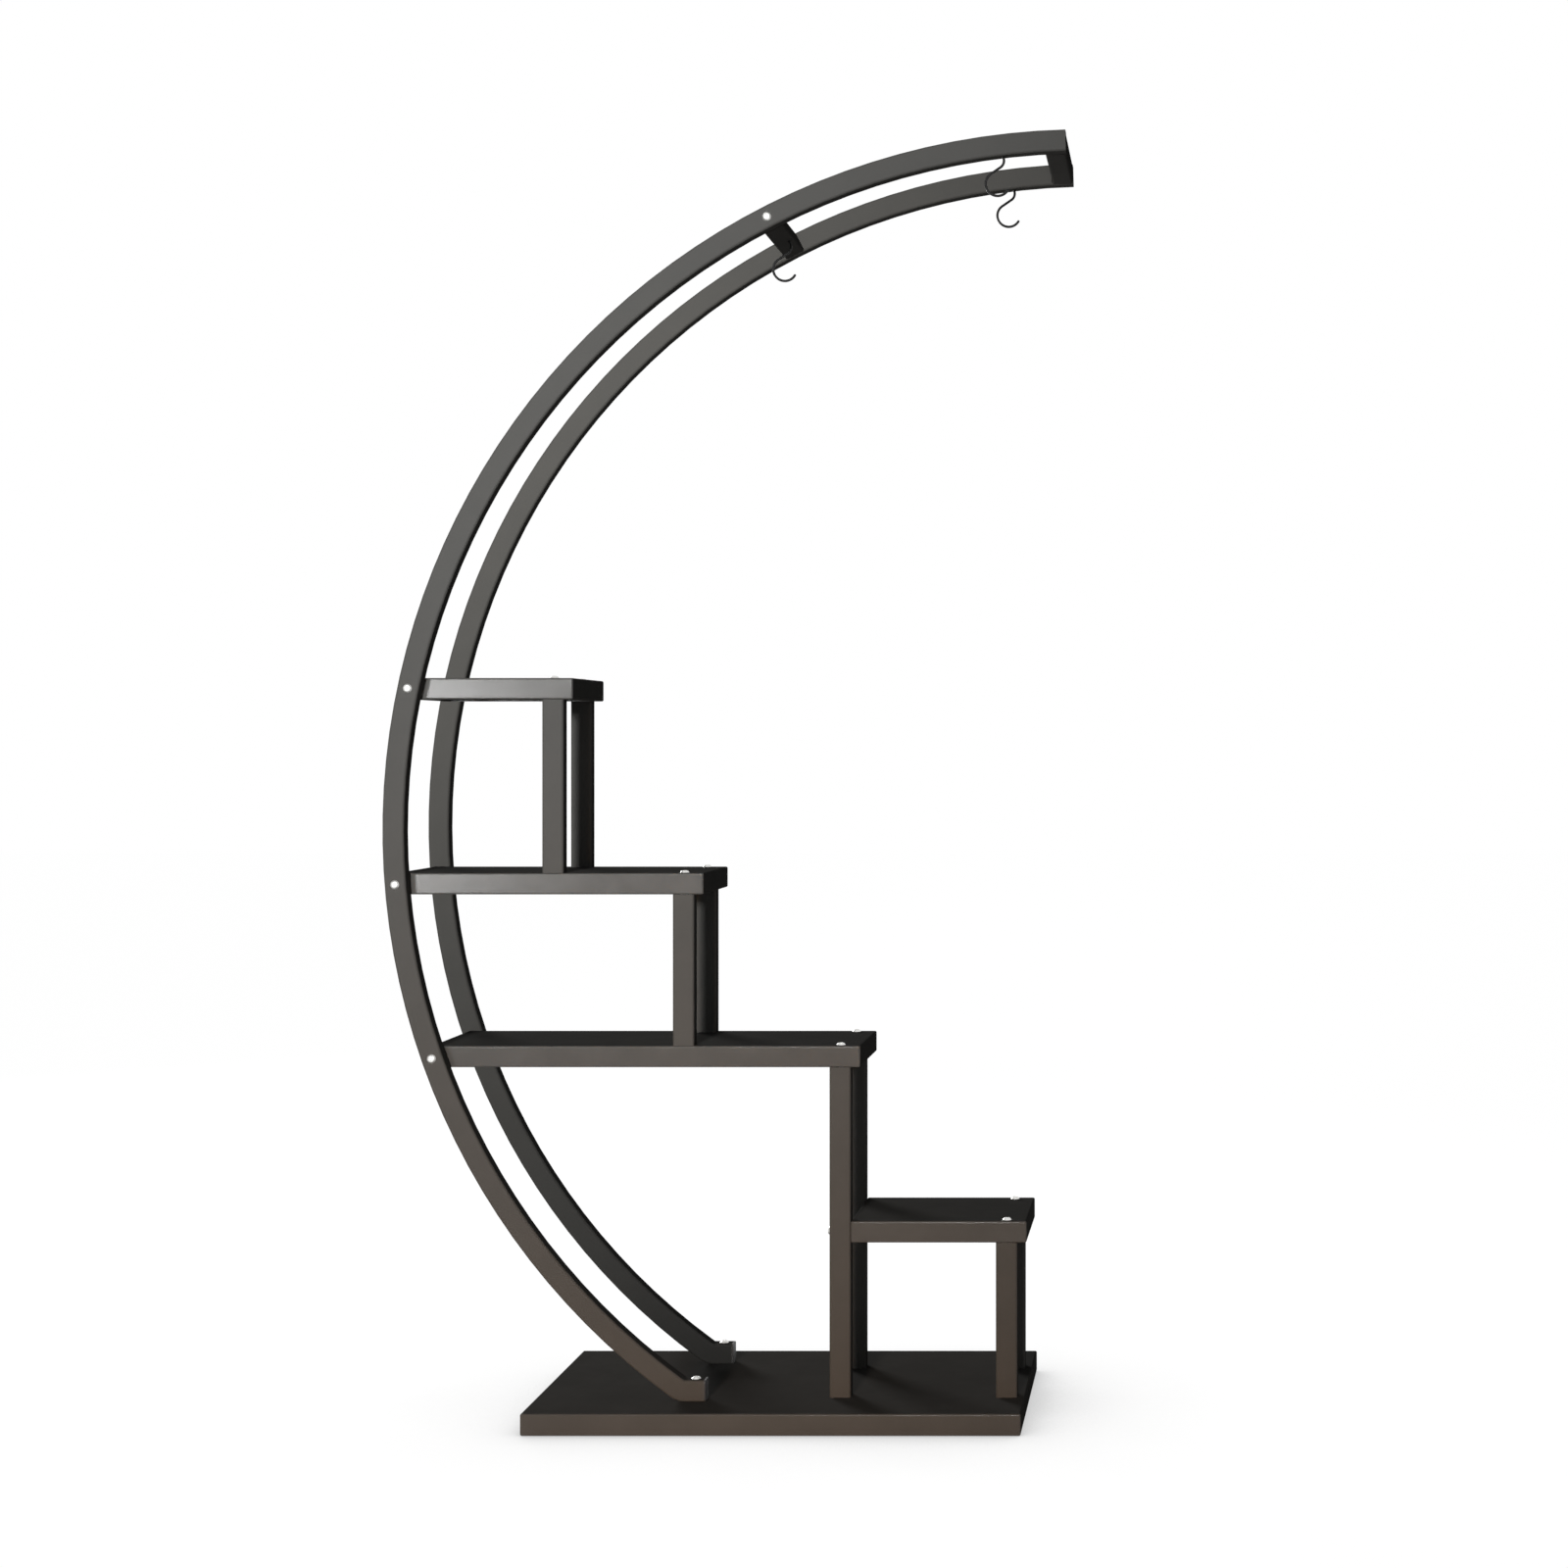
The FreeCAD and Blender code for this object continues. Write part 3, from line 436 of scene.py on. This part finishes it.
class STAND_OT_coat_steelwork(bpy.types.Operator):
    """Give the tubes, trays, caps and inner metal their finishes"""

    bl_idname = "stand.coat_steelwork"
    bl_label = "Coat steelwork"

    def execute(self, context):
        finish = context.scene.stand_finish
        tube_coat = powder_coat("tube_coat", finish, finish.tube_roughness, finish.tube_gloss)
        tray_coat = powder_coat("tray_coat", finish, finish.tray_roughness, finish.tray_gloss)
        zinc = zinc_plate(finish)
        plastic = cap_plastic(finish)
        for nodes, material in (
            (TUBES, tube_coat),
            (TRAYS, tray_coat),
            (INNER_METAL, zinc),
            (CAPS, plastic),
        ):
            for node in nodes:
                finish_with(frame["nodes"][node], material)
        return {"FINISHED"}


class STAND_OT_make_bolts(bpy.types.Operator):
    """Model the domed bolts with their sockets and threads, a set for each group in the frame"""

    bl_idname = "stand.make_bolts"
    bl_label = "Make bolts"

    def head(self, sizes):
        """A head that seats on the origin: a steep edge under a low dome with a hexagon socket."""
        seat_edge = 0.3 * MM
        dome_steps = 8
        radius = sizes.head_size / 2
        crown = sizes.head_crown / 2
        rise = sizes.head_height - sizes.head_shoulder
        bow = (crown**2 + rise**2) / (2 * rise)
        lift = sizes.head_height - bow
        first = math.acos(crown / bow)
        profile = [(0, 0), (radius - seat_edge, 0), (radius, seat_edge)]
        for step in range(dome_steps):
            angle = first + (math.pi / 2 - first) * step / dome_steps
            profile.append((bow * math.cos(angle), lift + bow * math.sin(angle)))
        profile.append((0, sizes.head_height))
        head = turned("bolt_head", profile, sizes.sides)
        settle()
        bpy.ops.mesh.primitive_cylinder_add(
            vertices=6,
            radius=sizes.socket / math.sqrt(3),
            depth=2 * sizes.socket_depth,
            location=(0, 0, sizes.head_height),
        )
        carve(head, bpy.context.object)
        return head

    def shank(self, sizes, length):
        """A threaded shank that starts inside the head, hangs from it and ends in a short taper."""
        spare_turns = 2
        steps_in_turn = 20
        crest = sizes.thread / 2
        root = sizes.thread_root / 2
        pitch = sizes.pitch
        sunk = sizes.head_shoulder / 4
        taper = 0.84
        taper_length = pitch * 0.7
        turns = math.ceil(length / pitch) + 2 * spare_turns
        bottom = -(turns - spare_turns) * pitch
        shank = drawn_profile(
            "bolt_shank", [(root, bottom), (crest, bottom + pitch / 2), (root, bottom + pitch)]
        )
        settle(shank)
        screw = shank.modifiers.new("thread", "SCREW")
        screw.angle = 2 * math.pi
        screw.screw_offset = pitch
        screw.iterations = turns
        screw.steps = steps_in_turn
        screw.render_steps = steps_in_turn
        screw.use_merge_vertices = True
        bpy.ops.object.modifier_apply(modifier=screw.name)
        bpy.ops.object.mode_set(mode="EDIT")
        close_up()
        for level, way in ((sunk, UP), (-length, -UP)):
            bpy.ops.mesh.select_all(action="SELECT")
            bpy.ops.mesh.bisect(plane_co=(0, 0, level), plane_no=way, use_fill=True, clear_outer=True)
        pick_points(shank, lambda point: point.z < taper_length - length)
        bpy.ops.transform.resize(value=(taper, taper, 1), center_override=(0, 0, 0))
        close_up()
        settle(shank)
        return shank

    def execute(self, context):
        sizes = context.scene.stand_fasteners
        zinc = bpy.data.materials["zinc_plate"]
        degrees_between = 37
        head = self.head(sizes)
        for node, heads in BOLT_SETS.items():
            spots = []
            for number, (low, high) in enumerate(loose_boxes(node)):
                middle = (low + high) / 2
                way = heads or (SIDE if middle.y > 0 else -SIDE)
                reach = max(high - low) / 2
                seat = middle + way * (reach - sizes.head_height)
                spots.append((seat, way, math.radians(degrees_between * number)))
            bolt = self.shank(sizes, 2 * reach - sizes.head_height)
            own_head = head.copy()
            own_head.data = head.data.copy()
            context.scene.collection.objects.link(own_head)
            settle(bolt)
            own_head.select_set(True)
            bpy.ops.object.join()
            bolts = set_out(f"threaded_{node}", bolt, spots)
            smooth(bolts, degrees=30)
            finish_with(bolts, zinc)
            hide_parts(node)
            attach(bolts, "stand")
        bpy.data.objects.remove(head)
        return {"FINISHED"}


class STAND_OT_make_weld_nuts(bpy.types.Operator):
    """Model the hexagon weld nuts with chamfered corners and bores"""

    bl_idname = "stand.make_weld_nuts"
    bl_label = "Make weld nuts"

    def nut(self, sizes):
        """A hexagon nut that stands on the origin, with chamfered corners and a flared bore."""
        play = 0.1 * MM
        flare = 0.5 * MM
        past = MM
        slope_share = 0.6
        barrel_sides = 48
        height = sizes.nut_height
        flat = sizes.nut_flats / 2
        corner = sizes.nut_flats / math.sqrt(3)
        clear = corner * 1.02
        slope = (corner - flat) * slope_share
        bore = sizes.thread / 2 + play
        settle()
        bpy.ops.mesh.primitive_cylinder_add(
            vertices=6, radius=corner, depth=height, location=(0, 0, height / 2)
        )
        nut = bpy.context.object
        bpy.ops.object.transform_apply(location=True)
        barrel = [
            (0, 0),
            (flat, 0),
            (clear, slope),
            (clear, height - slope),
            (flat, height),
            (0, height),
        ]
        carve(nut, turned("barrel", barrel, barrel_sides), "INTERSECT")
        drill = [
            (0, -past),
            (bore + flare + past, -past),
            (bore, flare),
            (bore, height - flare),
            (bore + flare + past, height + past),
            (0, height + past),
        ]
        carve(nut, turned("drill", drill, sizes.sides))
        return nut

    def execute(self, context):
        sizes = context.scene.stand_fasteners
        zinc = bpy.data.materials["zinc_plate"]
        for node in NUT_SETS:
            spots = []
            for low, high in loose_boxes(node):
                span = high - low
                axis = min(range(3), key=lambda number: span[number])
                way = Vector(1.0 if number == axis else 0.0 for number in range(3))
                spots.append(((low + high - way * sizes.nut_height) / 2, way, 0))
            nuts = set_out(f"chamfered_{node}", self.nut(sizes), spots)
            smooth(nuts)
            finish_with(nuts, zinc)
            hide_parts(node)
            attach(nuts, "stand")
        return {"FINISHED"}


class STAND_OT_make_hooks(bpy.types.Operator):
    """Bend the wire of the three hooks"""

    bl_idname = "stand.make_hooks"
    bl_label = "Make hooks"

    def round_end(self, hook, centre, way, radius):
        """Draw the open end of the wire out to a round tip."""
        within = radius * 1.01
        tip_width = 0.12
        pick_points(hook, lambda point: (point - centre).length < within)
        here = 0
        for step in (0.5, 0.85, 1):
            wide = math.sqrt(1 - here**2)
            narrow = math.sqrt(1 - step**2) if step < 1 else tip_width
            move = way * radius * (step - here)
            bpy.ops.mesh.extrude_region_move(TRANSFORM_OT_translate={"value": move})
            around = centre + way * radius * step
            bpy.ops.transform.resize(value=[narrow / wide] * 3, center_override=around)
            here = step
        bpy.ops.mesh.edge_face_add()

    def wire(self, sizes):
        """A hook about its upper loop's centre: the upper loop, a straight run and the open lower loop."""
        wire_sides = 18
        upper_steps = 30
        lower_steps = 34
        radius = sizes.wire / 2
        upper = sizes.upper_radius
        lower = sizes.lower_radius
        slant = math.acos((upper + lower) / math.hypot(sizes.lean, sizes.drop))
        foot = Vector((sizes.lean, 0, -sizes.drop))
        first = sizes.inner_end - radius / upper
        last = sizes.outer_end - radius / lower

        def around(angle):
            return Vector((math.cos(angle), 0, math.sin(angle)))

        start = around(first) * upper
        settle()
        bpy.ops.mesh.primitive_circle_add(vertices=wire_sides, radius=radius)
        hook = bpy.context.object
        hook.name = "hook_wire"
        hook.matrix_world = Matrix.Translation(start) @ Matrix.Rotation(math.pi - first, 4, "Y")
        bpy.ops.object.transform_apply(location=True, rotation=True)
        bpy.ops.object.mode_set(mode="EDIT")
        bpy.ops.mesh.select_all(action="SELECT")
        sweep = first - (slant - math.pi / 2)
        bpy.ops.mesh.spin(steps=upper_steps, angle=-sweep, center=(0, 0, 0), axis=SIDE)
        run = foot + around(slant + math.pi / 2) * lower - around(slant - math.pi / 2) * upper
        bpy.ops.mesh.extrude_region_move(TRANSFORM_OT_translate={"value": run})
        sweep = last - (slant + math.pi / 2)
        bpy.ops.mesh.spin(steps=lower_steps, angle=sweep, center=foot, axis=SIDE)
        self.round_end(hook, start, around(first + math.pi / 2), radius)
        self.round_end(hook, foot + around(last) * lower, around(last + math.pi / 2), radius)
        close_up()
        settle(hook)
        return hook

    def execute(self, context):
        coat = hook_coat(context.scene.stand_finish)
        hinges = {joint["child"]: Vector(joint["pos_m"]) for joint in frame["joints"]}
        master = self.wire(context.scene.stand_hooks)
        smooth(master, degrees=60)
        for node in HOOKS:
            hook = master.copy()
            hook.data = master.data.copy()
            hook.name = f"bent_{node}"
            hook.data.name = f"bent_{node}"
            context.scene.collection.objects.link(hook)
            hook.location = hinges[node]
            settle(hook)
            bpy.ops.object.transform_apply(location=True)
            finish_with(hook, coat)
            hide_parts(node)
            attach(hook, node)
        bpy.data.objects.remove(master)
        return {"FINISHED"}


class STAND_OT_make_weld_beads(bpy.types.Operator):
    """Model the rippled weld beads where the tip crossbar meets the rails"""

    bl_idname = "stand.make_weld_beads"
    bl_label = "Make weld beads"

    def bead(self, sizes, length):
        """An upright bead about the origin, with a valley and a crest in each ripple."""
        bead_sides = 12
        valley = sizes.bead * 0.78
        valley_rise = 0.1 * MM
        crest_rise = sizes.bead_step * 0.6
        end_rise = 0.4 * MM
        profile = [(0, -length / 2)]
        for ripple in range(round(length / sizes.bead_step)):
            level = -length / 2 + sizes.bead_step * ripple
            profile.append((valley, level + valley_rise))
            profile.append((sizes.bead, level + crest_rise))
        profile.append((0, profile[-1][1] + end_rise))
        return turned("bead", profile, bead_sides)

    def execute(self, context):
        sizes = context.scene.stand_fasteners
        length_share = 0.84
        inset = 0.2 * MM
        low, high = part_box("tip_crossbar")
        bead = self.bead(sizes, length_share * (high.z - low.z))
        middle_z = (low.z + high.z) / 2
        spots = [(Vector((low.x + inset, y, middle_z)), UP, 0) for y in (low.y, high.y)]
        beads = set_out("tip_weld_beads", bead, spots)
        smooth(beads, degrees=60)
        finish_with(beads, bpy.data.materials["tube_coat"])
        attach(beads, "stand")
        return {"FINISHED"}


class STAND_OT_set_stage(bpy.types.Operator):
    """Lay the floor, set the lamps and place the camera"""

    bl_idname = "stand.set_stage"
    bl_label = "Set stage"

    def seen_directly(self, tree):
        """1 for the rays that look at a thing straight, in a mirror or through glass."""
        rays = tree.nodes.new("ShaderNodeLightPath").outputs
        seen = rays["Is Camera Ray"]
        for kind in ("Is Glossy Ray", "Is Transmission Ray"):
            either = tree.nodes.new("ShaderNodeMath")
            either.operation = "MAXIMUM"
            tree.links.new(seen, either.inputs[0])
            tree.links.new(rays[kind], either.inputs[1])
            seen = either.outputs[0]
        return seen

    def lay_floor(self, stage):
        """A floor that glows white to the eye, its glow dimmed near the stand by a painted shadow, and is
        pale for other rays.
        """
        floor_size = 30
        floor_drop = 0.0005
        glow_share = 0.9
        settle()
        bpy.ops.mesh.primitive_plane_add(size=floor_size, location=(0, 0, -floor_drop))
        floor = bpy.context.object
        floor.name = "floor"
        bpy.ops.object.transform_apply(location=True)
        material = bpy.data.materials.new("pale_floor")
        material.use_nodes = True
        tree = material.node_tree
        shader = tree.nodes["Principled BSDF"]
        shader.inputs["Base Color"].default_value = (*stage.floor, 1)
        shader.inputs["Roughness"].default_value = 0.9
        shader.inputs["Specular IOR Level"].default_value = 0
        # Painted shadow: ambient occlusion near the stand lowers the strength of the floor's white glow.
        shade = tree.nodes.new("ShaderNodeAmbientOcclusion")
        shade.samples = 8
        shade.inputs["Distance"].default_value = stage.contact
        glow = tree.nodes.new("ShaderNodeEmission")
        painted_contact_shadow = add_range(tree, shade.outputs["AO"], low=0.4, high=1.1, start=0.2, end=0.98)
        tree.links.new(painted_contact_shadow, glow.inputs["Strength"])
        share = tree.nodes.new("ShaderNodeMath")
        share.operation = "MULTIPLY"
        share.inputs[1].default_value = glow_share
        tree.links.new(self.seen_directly(tree), share.inputs[0])
        mix = tree.nodes.new("ShaderNodeMixShader")
        tree.links.new(share.outputs[0], mix.inputs[0])
        tree.links.new(shader.outputs[0], mix.inputs[1])
        tree.links.new(glow.outputs[0], mix.inputs[2])
        tree.links.new(mix.outputs[0], tree.nodes["Material Output"].inputs["Surface"])
        finish_with(floor, material)

    def lamp(self, name, power, place, aim, size, spread, colour=WHITE):
        """A rectangular lamp at a place, turned to its aim, with its spread in degrees."""
        settle()
        bpy.ops.object.light_add(type="AREA", location=place)
        lamp = bpy.context.object
        lamp.name = name
        lamp.rotation_euler = (Vector(aim) - Vector(place)).to_track_quat("-Z", "Y").to_euler()
        lamp.data.shape = "RECTANGLE"
        lamp.data.size, lamp.data.size_y = size
        lamp.data.spread = math.radians(spread)
        lamp.data.energy = power
        lamp.data.color = colour
        return lamp

    def link_light(self, lamp, nodes, state):
        """Keep a lamp's light to the given nodes (INCLUDE) or off them (EXCLUDE)."""
        linked = bpy.data.collections.new(f"{lamp.name}_{state.lower()}")
        for node in nodes:
            linked.objects.link(frame["nodes"][node])
        for entry in linked.collection_objects:
            entry.light_linking.link_state = state
        lamp.light_linking.receiver_collection = linked

    def set_lamps(self, stage):
        """The main lamp, the rear rail's even light, the left lamp, the low lamp and the one behind."""
        front = self.lamp(
            "front_lamp",
            stage.front_power,
            place=(-0.8, -12, 2.6),
            aim=(-0.42, 0, 1.2),
            size=(1.2, 1.2),
            spread=15,
        )
        self.link_light(front, EVENLY_LIT, "EXCLUDE")
        # This lamp casts no shadow, so the front rail leaves no soft stripe on the rear one.
        even = self.lamp(
            "rear_rail_lamp",
            stage.rear_power,
            place=(-0.8, -12, 2.6),
            aim=(-0.42, 0, 1.3),
            size=(1.2, 1.2),
            spread=12,
            colour=(1, 0.985, 0.96),
        )
        even.data.use_shadow = False
        self.link_light(even, EVENLY_LIT, "INCLUDE")
        key = self.lamp(
            "key_lamp",
            stage.key_power,
            place=(-1.45, -3.1, 0.82),
            aim=(-0.2, 0, 0.9),
            size=(0.48, 0.75),
            spread=60,
        )
        key.visible_diffuse = False
        self.link_light(key, GLEAMING, "INCLUDE")
        warm_fill = self.lamp(
            "low_lamp",
            stage.fill_power,
            place=(-0.15, -5, 0.35),
            aim=(0.05, 0, 0),
            size=(0.5, 0.4),
            spread=22,
            colour=(1, 0.5, 0.18),
        )
        warm_fill.visible_glossy = False
        self.link_light(warm_fill, EVENLY_LIT, "EXCLUDE")
        self.lamp(
            "back_lamp",
            stage.back_power,
            place=(-2.2, 3.4, 0.9),
            aim=(0, 0, 0.75),
            size=(1.2, 1.2),
            spread=80,
        )

    def surround(self, scene, strength):
        """A white surround for the eye, and a weak even light for the surfaces."""
        world = bpy.data.worlds.new("surround")
        scene.world = world
        world.use_nodes = True
        tree = world.node_tree
        background = tree.nodes["Background"]
        background.inputs["Color"].default_value = (*WHITE, 1)
        level = tree.nodes.new("ShaderNodeMapRange")
        level.inputs["To Min"].default_value = strength
        tree.links.new(self.seen_directly(tree), level.inputs["Value"])
        tree.links.new(level.outputs["Result"], background.inputs["Strength"])

    def execute(self, context):
        scene = context.scene
        stage = scene.stand_stage
        self.lay_floor(stage)
        self.surround(scene, stage.ambient)
        self.set_lamps(stage)
        settle()
        bpy.ops.object.camera_add(location=stage.eye, rotation=(math.pi / 2, 0, 0))
        camera = context.object
        camera.name = "camera"
        camera.data.lens = stage.lens
        camera.data.shift_x, camera.data.shift_y = stage.shift
        scene.camera = camera
        scene.view_settings.view_transform = "Standard"
        return {"FINISHED"}


OPERATORS = (
    STAND_OT_coat_steelwork,
    STAND_OT_make_bolts,
    STAND_OT_make_weld_nuts,
    STAND_OT_make_hooks,
    STAND_OT_make_weld_beads,
    STAND_OT_set_stage,
)
SETTINGS = {
    "stand_finish": StandFinish,
    "stand_fasteners": StandFasteners,
    "stand_hooks": StandHooks,
    "stand_stage": StandStage,
}


class STAND_PT_finish(bpy.types.Panel):
    """The stand's sizes, colours and steps"""

    bl_idname = "STAND_PT_finish"
    bl_label = "Plant stand"
    bl_space_type = "VIEW_3D"
    bl_region_type = "UI"
    bl_category = "Stand"

    def draw(self, context):
        for name, group in SETTINGS.items():
            column = self.layout.column(align=True)
            for setting in group.__annotations__:
                column.prop(getattr(context.scene, name), setting)
        for operator in OPERATORS:
            self.layout.operator(operator.bl_idname)


def register():
    for item in (*SETTINGS.values(), *OPERATORS, STAND_PT_finish):
        bpy.utils.register_class(item)
    for name, group in SETTINGS.items():
        setattr(bpy.types.Scene, name, PointerProperty(type=group))


def unregister():
    for name in SETTINGS:
        delattr(bpy.types.Scene, name)
    for item in reversed((*SETTINGS.values(), *OPERATORS, STAND_PT_finish)):
        bpy.utils.unregister_class(item)


def main():
    register()
    bpy.ops.stand.coat_steelwork()
    bpy.ops.stand.make_bolts()
    bpy.ops.stand.make_weld_nuts()
    bpy.ops.stand.make_hooks()
    bpy.ops.stand.make_weld_beads()
    bpy.ops.stand.set_stage()


if __name__ == "__main__":
    main()
